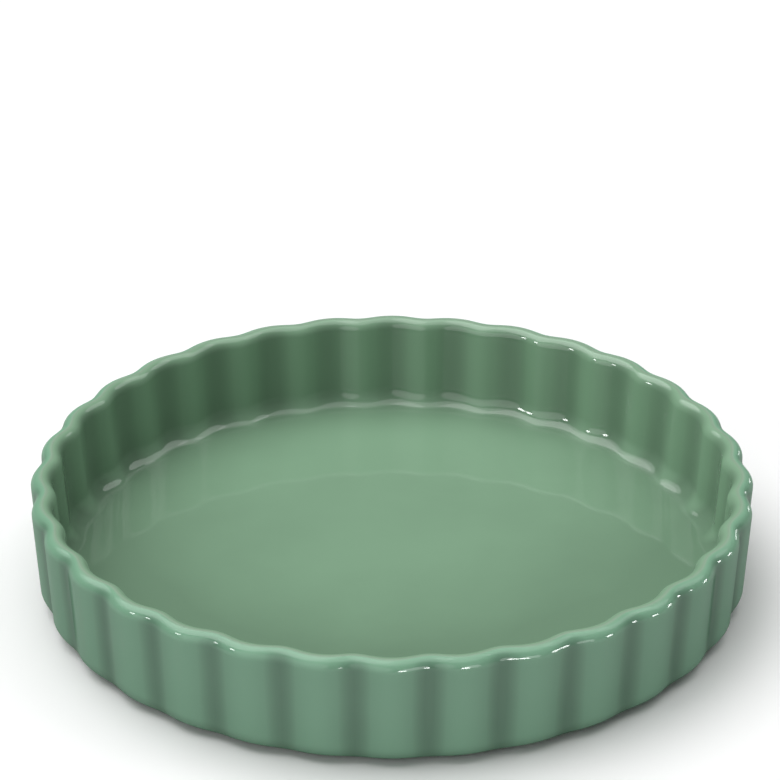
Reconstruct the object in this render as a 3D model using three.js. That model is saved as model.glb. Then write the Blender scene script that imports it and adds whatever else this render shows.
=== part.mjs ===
// A round fluted pie dish: one fired stoneware body and the three coats of glaze fused to it.
// Millimetres, +Z up. The origin is the centre of the foot ring, on the plane that the dish stands on.
import * as THREE from 'three';

// Driving dimensions of the glazed dish
const RIM_RADIUS = 140; // axis to the outermost point of a flute, at the lip
const HEIGHT = 45.8; // resting plane to the top of the lip
const WALL = 8.4; // across the lip and the wall, with glaze on both sides
const FLOOR = 7.6; // through the floor, with glaze on both sides
const WALL_LEAN_DEG = 3.7; // how far the wall leans outwards
const FLUTE_COUNT = 32;
const FLUTE_DEPTH = 2.1; // from a flute's crest in to the groove beside it
const GROOVE_SHARPNESS = 0.1; // 0 is a sine wave; above 0 the grooves are narrower than the flutes
const HEEL_RADIUS = 8.3; // outside, where the wall turns under and the flutes fade to nothing
const FILLET_RADIUS = 8; // inside, where the wall meets the floor
const FOOT_HEIGHT = 1.2; // bare foot ring below the glazed underside
const FOOT_WIDTH = 5;
const FOOT_SETBACK = 1.5; // from the end of the heel in to the foot ring
const GLAZE = 0.5; // thickness of one coat

// How much of the flute depth is left where the fillet runs into the flat floor
const FLUTE_AT_FLOOR_EDGE = 0.5;

// Facets
const STEPS_PER_FLUTE = 6;
const ARC_STEPS = 2; // along the heel, the fillet and each half of the lip

const GLAZE_COLOUR = 0x79997d;
const STONEWARE_COLOUR = 0xd8cdb8;

const columns = FLUTE_COUNT * STEPS_PER_FLUTE;
const lean = THREE.MathUtils.degToRad(WALL_LEAN_DEG);
const quarterTurn = Math.PI / 2;
const lipRadius = WALL / 2;
const floorTop = FOOT_HEIGHT + FLOOR;

// The lip, heel and fillet are arcs about these centres, each tangent to the leaning wall.
const lipCentre = { r: RIM_RADIUS - lipRadius, z: HEIGHT - lipRadius };
const heelCentre = centreBesideWall(lipRadius - HEEL_RADIUS, FOOT_HEIGHT + HEEL_RADIUS);
const filletCentre = centreBesideWall(-lipRadius - FILLET_RADIUS, floorTop + FILLET_RADIUS);
const footOuter = heelCentre.r - FOOT_SETBACK;
const footInner = footOuter - FOOT_WIDTH;

// The point at height z that lies a distance outside the wall's middle surface, measured square to it.
function centreBesideWall(distance, z) {
  const rise = z - lipCentre.z;
  return { r: lipCentre.r + (distance + rise * Math.sin(lean)) / Math.cos(lean), z };
}

// A profile point: radius at a flute's crest, height, and the share of the flute depth there.
function point(r, z, flute = 0) {
  return { r, z, flute };
}

// Profile points on an arc from one angle to the other, with the flutes fading from one share to the other.
function arc(centre, radius, from, to, fluteFrom, fluteTo) {
  const points = [];
  for (let step = 0; step <= ARC_STEPS; step++) {
    const share = step / ARC_STEPS;
    const angle = THREE.MathUtils.lerp(from, to, share);
    const r = centre.r + radius * Math.cos(angle);
    const z = centre.z + radius * Math.sin(angle);
    points.push(point(r, z, THREE.MathUtils.lerp(fluteFrom, fluteTo, share)));
  }
  return points;
}

// The outside from the foot ring up to the top of the lip, at a depth below the glazed surface.
function outsideProfile(depth) {
  return [
    point(footOuter, FOOT_HEIGHT + depth),
    ...arc(heelCentre, HEEL_RADIUS - depth, -quarterTurn, -lean, 0, 1),
    ...arc(lipCentre, lipRadius - depth, -lean, quarterTurn, 1, 1),
  ];
}

// The inside from the top of the lip down to the flat floor, at a depth below the glazed surface.
function insideProfile(depth) {
  return [
    ...arc(lipCentre, lipRadius - depth, quarterTurn, Math.PI - lean, 1, 1),
    ...arc(filletCentre, FILLET_RADIUS + depth, -lean, -quarterTurn, 1, FLUTE_AT_FLOOR_EDGE),
  ];
}

// How far a flute's surface has come in from its crest towards the groove, from 0 to 1.
function groove(angle) {
  const turn = FLUTE_COUNT * angle;
  const wave = Math.cos(turn) - GROOVE_SHARPNESS * Math.cos(2 * turn);
  return (1 - GROOVE_SHARPNESS - wave) / 2;
}

// A closed surface through one ring of vertices for each profile point. A profile that starts and ends
// at radius 0 closes on the axis, and any other profile closes on itself. Profiles run anticlockwise.
// Each quad is cut from its lower or inner ring, so two solids that share a profile share its facets.
function flutedSolid(profile) {
  const onAxis = profile[0].r === 0;
  const positions = [];
  const indices = [];
  const rings = profile.map(({ r, z, flute }) => {
    const first = positions.length / 3;
    const count = r === 0 ? 1 : columns;
    for (let column = 0; column < count; column++) {
      const angle = (2 * Math.PI * column) / columns;
      const radius = r === 0 ? 0 : r - flute * FLUTE_DEPTH * groove(angle);
      positions.push(radius * Math.cos(angle), radius * Math.sin(angle), z);
    }
    return { r, z, vertex: (column) => first + (count === 1 ? 0 : column % columns) };
  });
  const strips = onAxis ? rings.length - 1 : rings.length;
  for (let i = 0; i < strips; i++) {
    const a = rings[i];
    const b = rings[(i + 1) % rings.length];
    const cutFromA = a.z < b.z || (a.z === b.z && a.r < b.r);
    for (let column = 0; column < columns; column++) {
      const [a0, a1] = [a.vertex(column), a.vertex(column + 1)];
      const [b0, b1] = [b.vertex(column), b.vertex(column + 1)];
      const cut = cutFromA ? [a0, a1, b1, a0, b1, b0] : [a0, a1, b0, a1, b1, b0];
      for (let corner = 0; corner < cut.length; corner += 3) {
        const triangle = cut.slice(corner, corner + 3);
        if (new Set(triangle).size === 3) indices.push(...triangle);
      }
    }
  }
  const geometry = new THREE.BufferGeometry();
  geometry.setAttribute('position', new THREE.Float32BufferAttribute(positions, 3));
  geometry.setIndex(indices);
  geometry.computeVertexNormals();
  return geometry;
}

function piece(name, profile, material) {
  const mesh = new THREE.Mesh(flutedSolid(profile), material);
  mesh.name = name;
  return mesh;
}

const glaze = new THREE.MeshStandardMaterial({ color: GLAZE_COLOUR, roughness: 0.12, metalness: 0 });
const stoneware = new THREE.MeshStandardMaterial({ color: STONEWARE_COLOUR, roughness: 0.8, metalness: 0 });

// The clay under the glaze, with the bare foot ring that the dish stands on.
function stonewareBody() {
  const profile = [
    point(0, FOOT_HEIGHT + GLAZE),
    point(footInner, FOOT_HEIGHT + GLAZE),
    point(footInner, FOOT_HEIGHT),
    point(footInner, 0),
    point(footOuter, 0),
    point(footOuter, FOOT_HEIGHT),
    ...outsideProfile(GLAZE),
    ...insideProfile(GLAZE).slice(1),
    point(0, floorTop - GLAZE),
  ];
  return piece('stoneware_body', profile, stoneware);
}

// From the bare foot ring up the fluted wall to the top of the lip.
function outsideGlaze() {
  const profile = [...outsideProfile(0), ...outsideProfile(GLAZE).reverse()];
  return piece('outside_glaze', profile, glaze);
}

// From the top of the lip down the inner wall and across the floor.
function insideGlaze() {
  const profile = [
    point(0, floorTop - GLAZE),
    ...insideProfile(GLAZE).reverse(),
    ...insideProfile(0),
    point(0, floorTop),
  ];
  return piece('inside_glaze', profile, glaze);
}

// The shallow recess inside the foot ring.
function undersideGlaze() {
  const profile = [
    point(0, FOOT_HEIGHT),
    point(footInner, FOOT_HEIGHT),
    point(footInner, FOOT_HEIGHT + GLAZE),
    point(0, FOOT_HEIGHT + GLAZE),
  ];
  return piece('underside_glaze', profile, glaze);
}

const dish = new THREE.Group();
dish.name = 'fluted_pie_dish';
dish.add(stonewareBody(), outsideGlaze(), insideGlaze(), undersideGlaze());

export default dish;
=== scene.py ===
"""The glazed stoneware pie dish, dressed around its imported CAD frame. Metres, +Z up."""
import math

import bpy
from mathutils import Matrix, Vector


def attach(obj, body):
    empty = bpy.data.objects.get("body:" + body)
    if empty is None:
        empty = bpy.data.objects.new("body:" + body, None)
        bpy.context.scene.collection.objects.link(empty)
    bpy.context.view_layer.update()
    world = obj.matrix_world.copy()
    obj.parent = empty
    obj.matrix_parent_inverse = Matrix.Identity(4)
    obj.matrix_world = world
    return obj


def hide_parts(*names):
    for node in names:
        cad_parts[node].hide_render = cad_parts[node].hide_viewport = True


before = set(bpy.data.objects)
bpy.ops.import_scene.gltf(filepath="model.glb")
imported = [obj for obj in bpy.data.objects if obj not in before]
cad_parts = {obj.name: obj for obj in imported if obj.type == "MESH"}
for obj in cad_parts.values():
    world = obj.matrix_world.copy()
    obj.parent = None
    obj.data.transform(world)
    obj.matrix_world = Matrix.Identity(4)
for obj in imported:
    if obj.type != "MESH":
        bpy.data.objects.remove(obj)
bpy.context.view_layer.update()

# Driving dimensions of the glazed dish, the same as in the CAD
RIM_RADIUS = 0.140  # axis to the outermost point of a flute, at the lip
HEIGHT = 0.0458  # resting plane to the top of the lip
WALL = 0.0084  # across the lip and the wall, with glaze on both sides
FLOOR = 0.0076  # through the floor, with glaze on both sides
WALL_LEAN = math.radians(3.7)  # how far the wall leans outwards
FLUTE_COUNT = 32
FLUTE_DEPTH = 0.0021  # from a flute's crest in to the groove beside it
GROOVE_SHARPNESS = 0.1  # 0 is a sine wave; above 0 the grooves are narrower than the flutes
HEEL_RADIUS = 0.0083  # outside, where the wall turns under and the flutes fade to nothing
FILLET_RADIUS = 0.008  # inside, where the wall meets the floor
FOOT_HEIGHT = 0.0012  # bare foot ring below the glazed underside
FOOT_WIDTH = 0.005
FOOT_SETBACK = 0.0015  # from the end of the heel in to the foot ring
GLAZE = 0.0005  # thickness of one coat
FLUTE_AT_FLOOR_EDGE = 0.5  # how much of the flute depth is left where the fillet runs into the flat floor

# Facets of the fine surfaces
STEPS_PER_FLUTE = 16
ARC_STEPS = 10  # along the heel, the fillet and each half of the lip
WALL_STEPS = 8
FLOOR_STEPS = 8
SHARP_ANGLE = math.radians(50)  # an edge that turns by more than this is shaded as a sharp one
CREST_TOLERANCE = 1e-6  # how near to the full height a vertex on top of the lip lies

# How the glaze has gathered, together with painted shade and painted highlight, on a scale with 1 in the
# hollow of a flute, 0 halfway and -1 on its ridge
FLOOR_PAINTED_SHADE = 1.9  # how strongly painted shade darkens the floor and fillet towards the front and the edges
LIP_THINNING_AND_PAINTED_SHEEN = 2  # how far it has run off the top of the lip, together with a painted highlight along the crest
POOLING_AND_PAINTED_LIGHT_RANGE = 4  # the colours run over this much of the scale, with 0 in the middle

# Glaze
INSIDE_GREEN = (0.209, 0.351, 0.231)
OUTSIDE_GREEN = (0.179, 0.34, 0.229)
LIP_GREEN_WITH_PAINTED_SHEEN = (0.265, 0.373, 0.275, 1)  # where the glaze breaks over the lip and the clay shows through, paled further by a painted highlight
RIDGE_THIN_AND_PAINTED_LIGHT = 1.12  # where it has run thin, with painted light on the ridges, against its plain green
INSIDE_HOLLOW_POOLED_AND_SHADED = 0.74  # where it has gathered, with painted shade in the hollows
# On the outside the hollows are darker still: gathered glaze and more painted shade
OUTSIDE_HOLLOW_POOLED_AND_SHADED = 0.64
INSIDE_COAT_WEIGHT = 1
INSIDE_COAT_IOR = 1.5
OUTSIDE_COAT_WEIGHT = 0.2  # low, because the outer wall mirrors the pale floor
OUTSIDE_COAT_IOR = 2.2  # high, so that the gleams on the lip stay bright
COAT_ROUGHNESS = 0.06
MOTTLE = 0.18  # share of the colour ramp that the mottle runs over
MOTTLE_SCALE = 22  # patches of about 45 mm
MOTTLE_DETAIL = 4
WAVE_SCALE = 60  # waves of about 17 mm in the fired surface
WAVE_DETAIL = 2
WAVE_STRENGTH = 0.05
WAVE_HEIGHT = 0.0006

# Bare stoneware
CLAY_DARK = (0.52, 0.44, 0.33, 1)
CLAY_PALE = (0.72, 0.64, 0.51, 1)
CLAY_DARK_LEVEL = 0.35  # of the grain
CLAY_PALE_LEVEL = 0.65
CLAY_ROUGHNESS = 0.85
GRAIN_SCALE = 900  # grains of about 1 mm
GRAIN_DETAIL = 6
GRAIN_STRENGTH = 0.4
GRAIN_HEIGHT = 0.0002

# Studio
STUDIO_FLOOR_WIDTH = 8
FLOOR_SEEN = (0.92, 0.92, 0.92, 1)  # the floor as it is seen, also in the gloss
FLOOR_BOUNCE = (0.32, 0.32, 0.32, 1)  # the floor as it throws soft light back on the dish
WORLD_WHITE = (1, 1, 1, 1)
WORLD_LEVEL = 0.05

# Lights
# Azimuth 0 is the camera's side and 90 is to the right. Width is the angle across the light, as seen from
# the dish. All three angles are in degrees.
# Level is how brightly a light would light a white sheet that faces it.
# A light that shows in the gloss only gives a gleam and lights nothing else.
# The low lights stand for bright things below the height of the rim. The dish's wall would hide them from
# its inside, so they reach the outside coat only.
LIGHTS = [
    # name, azimuth, elevation, width, level, in the gloss only, on the outside coat only
    ("overhead", -135, 78, 72, 0.55, False, False),
    ("back_left", -115, 60, 56, 0.39, False, False),
    ("back_right", 115, 48, 34, 0.16, False, False),
    ("front", -32, 20, 60, 0.33, False, False),
    ("low_front", 28, 8, 30, 0.28, False, True),
    ("left_lamp", -69, 29, 10, 0.16, True, False),
    ("front_lamp", 17, 4, 14, 0.44, True, True),
    ("right_lamp", 70, 5, 13, 0.36, True, True),
    ("side_lamp", 105, 5, 11, 0.26, True, True),
    ("far_right_lamp", 143, 5, 9, 0.07, True, True),
]

# Camera, fitted to the dish's outline in the photograph
CAMERA_ELEVATION = math.radians(29.02)  # of the line from the centre of the rim to the camera
CAMERA_DISTANCE = 10.5 * RIM_RADIUS
FOCAL_PIXELS = 3794
IMAGE_PIXELS = 780
SENSOR_MM = 36
RIM_CENTRE_PIXEL = (392.2, 473.9)  # where the centre of the rim falls in the image

columns = FLUTE_COUNT * STEPS_PER_FLUTE
quarter_turn = math.pi / 2
lip_radius = WALL / 2
floor_top = FOOT_HEIGHT + FLOOR
lip_centre = (RIM_RADIUS - lip_radius, HEIGHT - lip_radius)


def centre_beside_wall(distance, z):
    """The point at height z that lies a distance outside the wall's middle surface, square to it."""
    rise = z - lip_centre[1]
    return (lip_centre[0] + (distance + rise * math.sin(WALL_LEAN)) / math.cos(WALL_LEAN), z)


heel_centre = centre_beside_wall(lip_radius - HEEL_RADIUS, FOOT_HEIGHT + HEEL_RADIUS)
fillet_centre = centre_beside_wall(-lip_radius - FILLET_RADIUS, floor_top + FILLET_RADIUS)
foot_outer = heel_centre[0] - FOOT_SETBACK
foot_inner = foot_outer - FOOT_WIDTH
glazed_recess_edge = (foot_inner, FOOT_HEIGHT, 0)
clay_recess_edge = (foot_inner, FOOT_HEIGHT + GLAZE, 0)


# Profiles, whose points are a radius at a flute's crest, a height and a share of the flute depth
def lerp(a, b, share):
    """The value a share of the way from a to b."""
    return a + (b - a) * share


def arc(centre, radius, start, end, flute_start, flute_end):
    """The points on an arc between two angles, with the flutes going from one share to the other."""
    points = []
    for step in range(ARC_STEPS + 1):
        share = step / ARC_STEPS
        angle = lerp(start, end, share)
        r = centre[0] + radius * math.cos(angle)
        z = centre[1] + radius * math.sin(angle)
        points.append((r, z, lerp(flute_start, flute_end, share)))
    return points


def between(start, end, steps):
    """The points that split the straight run between two points."""
    shares = [step / steps for step in range(1, steps)]
    return [tuple(lerp(a, b, share) for a, b in zip(start, end)) for share in shares]


def disc_profile(edge):
    """From inside an edge point straight in to the axis."""
    centre = (0, edge[1], 0)
    return [*between(edge, centre, FLOOR_STEPS), centre]


def outside_profile(depth):
    """From the foot ring up to the top of the lip, at a depth below the glazed surface."""
    foot = (foot_outer, FOOT_HEIGHT + depth, 0)
    heel = arc(heel_centre, HEEL_RADIUS - depth, -quarter_turn, -WALL_LEAN, 0, 1)
    lip = arc(lip_centre, lip_radius - depth, -WALL_LEAN, quarter_turn, 1, 1)
    return [foot, *heel, *between(heel[-1], lip[0], WALL_STEPS), *lip]


def inside_profile(depth):
    """From the top of the lip down to the edge of the flat floor, at a depth below the glazed surface."""
    lip = arc(lip_centre, lip_radius - depth, quarter_turn, math.pi - WALL_LEAN, 1, 1)
    fillet = arc(fillet_centre, FILLET_RADIUS + depth, -WALL_LEAN, -quarter_turn, 1, FLUTE_AT_FLOOR_EDGE)
    return [*lip, *between(lip[-1], fillet[0], WALL_STEPS), *fillet]


def stoneware_body_profile():
    """The clay, from the middle of its underside round the foot ring and wall to the middle of its floor."""
    inside = inside_profile(GLAZE)
    return [
        *reversed(disc_profile(clay_recess_edge)),
        clay_recess_edge,
        (foot_inner, 0, 0),
        (foot_outer, 0, 0),
        *outside_profile(GLAZE),
        *inside[1:],
        *disc_profile(inside[-1]),
    ]


def outside_glaze_profile():
    """Up the glazed surface and back down the clay."""
    return [*outside_profile(0), *reversed(outside_profile(GLAZE))]


def inside_glaze_profile():
    """From the middle of the clay's floor up to the lip, and back down the glazed surface."""
    clay = inside_profile(GLAZE)
    glazed = inside_profile(0)
    return [
        *reversed(disc_profile(clay[-1])),
        *reversed(clay),
        *glazed,
        *disc_profile(glazed[-1]),
    ]


def underside_glaze_profile():
    """From the middle of the glazed recess out to the foot ring, and back along the clay."""
    return [
        *reversed(disc_profile(glazed_recess_edge)),
        glazed_recess_edge,
        clay_recess_edge,
        *disc_profile(clay_recess_edge),
    ]


# Meshes
def groove(angle):
    """How far a flute's surface has come in from its crest towards the groove, from 0 to 1."""
    turn = FLUTE_COUNT * angle
    wave = math.cos(turn) - GROOVE_SHARPNESS * math.cos(2 * turn)
    return (1 - GROOVE_SHARPNESS - wave) / 2


def fluted_mesh(name, profile):
    """A closed mesh with a ring for each point of a profile, which goes from axis to axis or closes up."""
    on_axis = profile[0][0] == 0
    vertices = []
    rings = []
    for r, z, flute in profile:
        first = len(vertices)
        count = 1 if r == 0 else columns
        for column in range(count):
            angle = 2 * math.pi * column / columns
            radius = 0 if r == 0 else r - flute * FLUTE_DEPTH * groove(angle)
            vertices.append((radius * math.cos(angle), radius * math.sin(angle), z))
        rings.append((first, count))

    def corner(ring, column):
        first, count = rings[ring % len(rings)]
        return first + column % count

    faces = []
    for ring in range(len(rings) - 1 if on_axis else len(rings)):
        for column in range(columns):
            loop = [
                corner(ring, column),
                corner(ring, column + 1),
                corner(ring + 1, column + 1),
                corner(ring + 1, column),
            ]
            # On the axis two corners are the same vertex, which is kept once
            faces.append(list(dict.fromkeys(loop)))
    mesh = bpy.data.meshes.new(name)
    mesh.from_pydata(vertices, [], faces)
    mesh.update()
    return mesh


def at_crest(vertex):
    """Whether a vertex lies on top of the lip, where the inside and outside coats meet."""
    return vertex.co.z > HEIGHT - CREST_TOLERANCE


def mark_glaze_and_painted_light(mesh):
    """Marks at each vertex how the glaze has gathered and where shade and highlight are painted: gathered
    and shaded in the hollows of the flutes, painted shade towards the front of the floor, thin glaze and a
    painted highlight towards the top of the lip."""
    pooling_and_painted_light = mesh.attributes.new("pooling_and_painted_light", "FLOAT", "POINT")
    for vertex, mark in zip(mesh.vertices, pooling_and_painted_light.data):
        x, y, z = vertex.co
        angle = math.atan2(y, x)
        outwards = 0 if at_crest(vertex) else vertex.normal.dot((math.cos(angle), math.sin(angle), 0))
        # Darker in the hollows and paler on the ridges: gathered glaze together with painted shade and
        # painted light
        mark.value = outwards * (2 * groove(angle) - 1)
        # Painted shade: the floor and fillet are made darker towards the front and the edges
        on_floor_or_fillet = vertex.normal.z > 0 and z < HEIGHT / 2
        if on_floor_or_fillet:
            reach = math.hypot(x, y) / RIM_RADIUS
            mark.value += FLOOR_PAINTED_SHADE * vertex.normal.z * reach * (reach - y / RIM_RADIUS)
        # Paler on top of the lip: the glaze breaking there, together with a painted highlight along the
        # crest
        rise = max(0, (z - lip_centre[1]) / lip_radius)
        mark.value -= LIP_THINNING_AND_PAINTED_SHEEN * rise ** 2 * (1 - abs(outwards)) ** 2


def level_crest(mesh):
    """Turns the normals on top of the lip straight up, so that the two coats shade as one surface there."""
    up = (0, 0, 1)
    unchanged = (0, 0, 0)
    if any(at_crest(vertex) for vertex in mesh.vertices):
        normals = [up if at_crest(vertex) else unchanged for vertex in mesh.vertices]
        mesh.normals_split_custom_set_from_vertices(normals)


def add_piece(node, profile, material):
    """A fine piece that stands for a CAD node."""
    name = f"{node}_fine"
    mesh = fluted_mesh(name, profile)
    mark_glaze_and_painted_light(mesh)
    mesh.materials.append(material)
    mesh.shade_smooth()
    mesh.set_sharp_from_angle(angle=SHARP_ANGLE)
    level_crest(mesh)
    piece = bpy.data.objects.new(name, mesh)
    bpy.context.collection.objects.link(piece)
    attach(piece, "root")
    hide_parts(node)
    return piece


# Materials
def new_material(name):
    """A material, with its nodes, its links and its main shader."""
    material = bpy.data.materials.new(name)
    material.use_nodes = True
    nodes = material.node_tree.nodes
    return material, nodes, material.node_tree.links, nodes["Principled BSDF"]


def noise(nodes, links, scale, detail):
    """The level of a noise that is fixed to the object."""
    coordinates = nodes.new("ShaderNodeTexCoord")
    node = nodes.new("ShaderNodeTexNoise")
    node.inputs["Scale"].default_value = scale
    node.inputs["Detail"].default_value = detail
    links.new(coordinates.outputs["Object"], node.inputs["Vector"])
    return node.outputs["Fac"]


def ramp(nodes, links, level, stops):
    """The colour that a level has among stops of level and colour."""
    node = nodes.new("ShaderNodeValToRGB")
    elements = node.color_ramp.elements
    for element, (position, colour) in zip(elements, (stops[0], stops[-1])):
        element.position = position
        element.color = colour
    for position, colour in stops[1:-1]:
        elements.new(position).color = colour
    links.new(level, node.inputs["Fac"])
    return node.outputs["Color"]


def bump(nodes, links, level, strength, height):
    """The normal of a surface that rises and falls with a level."""
    node = nodes.new("ShaderNodeBump")
    node.inputs["Strength"].default_value = strength
    node.inputs["Distance"].default_value = height
    links.new(level, node.inputs["Height"])
    return node.outputs["Normal"]


def multiply_add(nodes, links, value, factor, addend):
    """The value times a factor, plus a number or another node's output."""
    node = nodes.new("ShaderNodeMath")
    node.operation = "MULTIPLY_ADD"
    links.new(value, node.inputs[0])
    node.inputs[1].default_value = factor
    if isinstance(addend, bpy.types.NodeSocket):
        links.new(addend, node.inputs[2])
    else:
        node.inputs[2].default_value = addend
    return node.outputs["Value"]


def shade(colour, brightness):
    """An opaque colour, brighter or darker than a plain one."""
    return (*(channel * brightness for channel in colour), 1)


def ramp_position(pooling_and_painted_light):
    """Where a mark of the scale of pooling and painted light falls on the colour ramp, which runs from 0 to
    1.
    """
    return 0.5 + pooling_and_painted_light / POOLING_AND_PAINTED_LIGHT_RANGE


def glaze_material(name, green, hollow_pooled_and_shaded, coat_weight, coat_ior):
    """A mottled green, deeper where it has gathered and where shade is painted, paler where light is painted
    on the ridges and the lip, under a clear coat that has all of the gloss.
    """
    material, nodes, links, shader = new_material(name)
    pooling_and_painted_light = nodes.new("ShaderNodeAttribute")
    pooling_and_painted_light.attribute_name = "pooling_and_painted_light"
    mottle = noise(nodes, links, MOTTLE_SCALE, MOTTLE_DETAIL)
    plain = ramp_position(0) - MOTTLE / 2
    # The depth carries the gathered glaze, the painted shade and the painted highlight together
    depth = multiply_add(nodes, links, pooling_and_painted_light.outputs["Fac"], 1 / POOLING_AND_PAINTED_LIGHT_RANGE, plain)
    depth = multiply_add(nodes, links, mottle, MOTTLE, depth)
    # The lip, ridge and hollow colours hold painted highlight, painted light and painted shade as well as
    # the glaze's own thinning and gathering
    stops = [
        (ramp_position(-LIP_THINNING_AND_PAINTED_SHEEN), LIP_GREEN_WITH_PAINTED_SHEEN),
        (ramp_position(-1), shade(green, RIDGE_THIN_AND_PAINTED_LIGHT)),
        (ramp_position(0), shade(green, 1)),
        (ramp_position(1), shade(green, hollow_pooled_and_shaded)),
    ]
    links.new(ramp(nodes, links, depth, stops), shader.inputs["Base Color"])
    shader.inputs["Specular IOR Level"].default_value = 0
    shader.inputs["Coat Weight"].default_value = coat_weight
    shader.inputs["Coat Roughness"].default_value = COAT_ROUGHNESS
    shader.inputs["Coat IOR"].default_value = coat_ior
    waves = noise(nodes, links, WAVE_SCALE, WAVE_DETAIL)
    normal = bump(nodes, links, waves, WAVE_STRENGTH, WAVE_HEIGHT)
    links.new(normal, shader.inputs["Normal"])
    links.new(normal, shader.inputs["Coat Normal"])
    return material


def stoneware_material():
    """Bare fired clay with a fine grain."""
    material, nodes, links, shader = new_material("bare_stoneware")
    grain = noise(nodes, links, GRAIN_SCALE, GRAIN_DETAIL)
    stops = [(CLAY_DARK_LEVEL, CLAY_DARK), (CLAY_PALE_LEVEL, CLAY_PALE)]
    links.new(ramp(nodes, links, grain, stops), shader.inputs["Base Color"])
    shader.inputs["Roughness"].default_value = CLAY_ROUGHNESS
    normal = bump(nodes, links, grain, GRAIN_STRENGTH, GRAIN_HEIGHT)
    links.new(normal, shader.inputs["Normal"])
    return material


def studio_floor_material():
    """A matt floor that is pale where it is seen and throws less soft light back."""
    material, nodes, links, shader = new_material("pale_floor")
    shader.inputs["Roughness"].default_value = 1
    shader.inputs["Specular IOR Level"].default_value = 0
    path = nodes.new("ShaderNodeLightPath")
    seen = path.outputs["Is Camera Ray"]
    for ray in ("Is Glossy Ray", "Is Transmission Ray"):
        either = nodes.new("ShaderNodeMath")
        either.operation = "MAXIMUM"
        links.new(seen, either.inputs[0])
        links.new(path.outputs[ray], either.inputs[1])
        seen = either.outputs["Value"]
    colour = ramp(nodes, links, seen, [(0, FLOOR_BOUNCE), (1, FLOOR_SEEN)])
    links.new(colour, shader.inputs["Base Color"])
    return material


# Studio
def add_studio_floor():
    half = STUDIO_FLOOR_WIDTH / 2
    corners = [(-half, -half, 0), (half, -half, 0), (half, half, 0), (-half, half, 0)]
    mesh = bpy.data.meshes.new("floor")
    mesh.from_pydata(corners, [], [(0, 1, 2, 3)])
    mesh.materials.append(studio_floor_material())
    floor = bpy.data.objects.new("floor", mesh)
    bpy.context.collection.objects.link(floor)


def set_world():
    world = bpy.data.worlds.new("studio")
    world.use_nodes = True
    background = world.node_tree.nodes["Background"]
    background.inputs["Color"].default_value = WORLD_WHITE
    background.inputs["Strength"].default_value = WORLD_LEVEL
    bpy.context.scene.world = world


def add_light(name, azimuth, elevation, width, level, gloss_only, receivers):
    """A distant round light. It reaches everything, or only the pieces in the collection of receivers."""
    lamp = bpy.data.lights.new(name, "SUN")
    lamp.angle = math.radians(width)
    lamp.energy = level * math.pi
    light = bpy.data.objects.new(name, lamp)
    turn = math.radians(azimuth)
    rise = math.radians(elevation)
    towards = Vector((math.cos(rise) * math.sin(turn), -math.cos(rise) * math.cos(turn), math.sin(rise)))
    light.rotation_euler = towards.to_track_quat("Z", "Y").to_euler()
    light.visible_diffuse = not gloss_only
    light.light_linking.receiver_collection = receivers
    bpy.context.collection.objects.link(light)


def add_camera():
    """The camera in front of the dish, turned so that the centre of the rim falls on its pixel."""
    data = bpy.data.cameras.new("camera")
    data.sensor_width = SENSOR_MM
    data.lens = FOCAL_PIXELS / IMAGE_PIXELS * SENSOR_MM
    camera = bpy.data.objects.new("camera", data)
    camera.location = (
        0,
        -CAMERA_DISTANCE * math.cos(CAMERA_ELEVATION),
        HEIGHT + CAMERA_DISTANCE * math.sin(CAMERA_ELEVATION),
    )
    pitch_up = math.atan((RIM_CENTRE_PIXEL[1] - IMAGE_PIXELS / 2) / FOCAL_PIXELS)
    yaw_left = math.atan((RIM_CENTRE_PIXEL[0] - IMAGE_PIXELS / 2) / FOCAL_PIXELS)
    camera.rotation_euler = (quarter_turn - CAMERA_ELEVATION + pitch_up, 0, yaw_left)
    bpy.context.collection.objects.link(camera)
    bpy.context.scene.camera = camera


inside_glaze = glaze_material(
    "green_glaze_inside", INSIDE_GREEN, INSIDE_HOLLOW_POOLED_AND_SHADED, INSIDE_COAT_WEIGHT, INSIDE_COAT_IOR
)
outside_glaze = glaze_material(
    "green_glaze_outside", OUTSIDE_GREEN, OUTSIDE_HOLLOW_POOLED_AND_SHADED, OUTSIDE_COAT_WEIGHT, OUTSIDE_COAT_IOR
)
stoneware = stoneware_material()

add_piece("stoneware_body", stoneware_body_profile(), stoneware)
outside_coat = add_piece("outside_glaze", outside_glaze_profile(), outside_glaze)
add_piece("inside_glaze", inside_glaze_profile(), inside_glaze)
add_piece("underside_glaze", underside_glaze_profile(), outside_glaze)

add_studio_floor()
set_world()
outside_only = bpy.data.collections.new("outside_only")
outside_only.objects.link(outside_coat)
for *light, on_outside_only in LIGHTS:
    add_light(*light, outside_only if on_outside_only else None)
add_camera()

bpy.context.scene.view_settings.view_transform = "Standard"
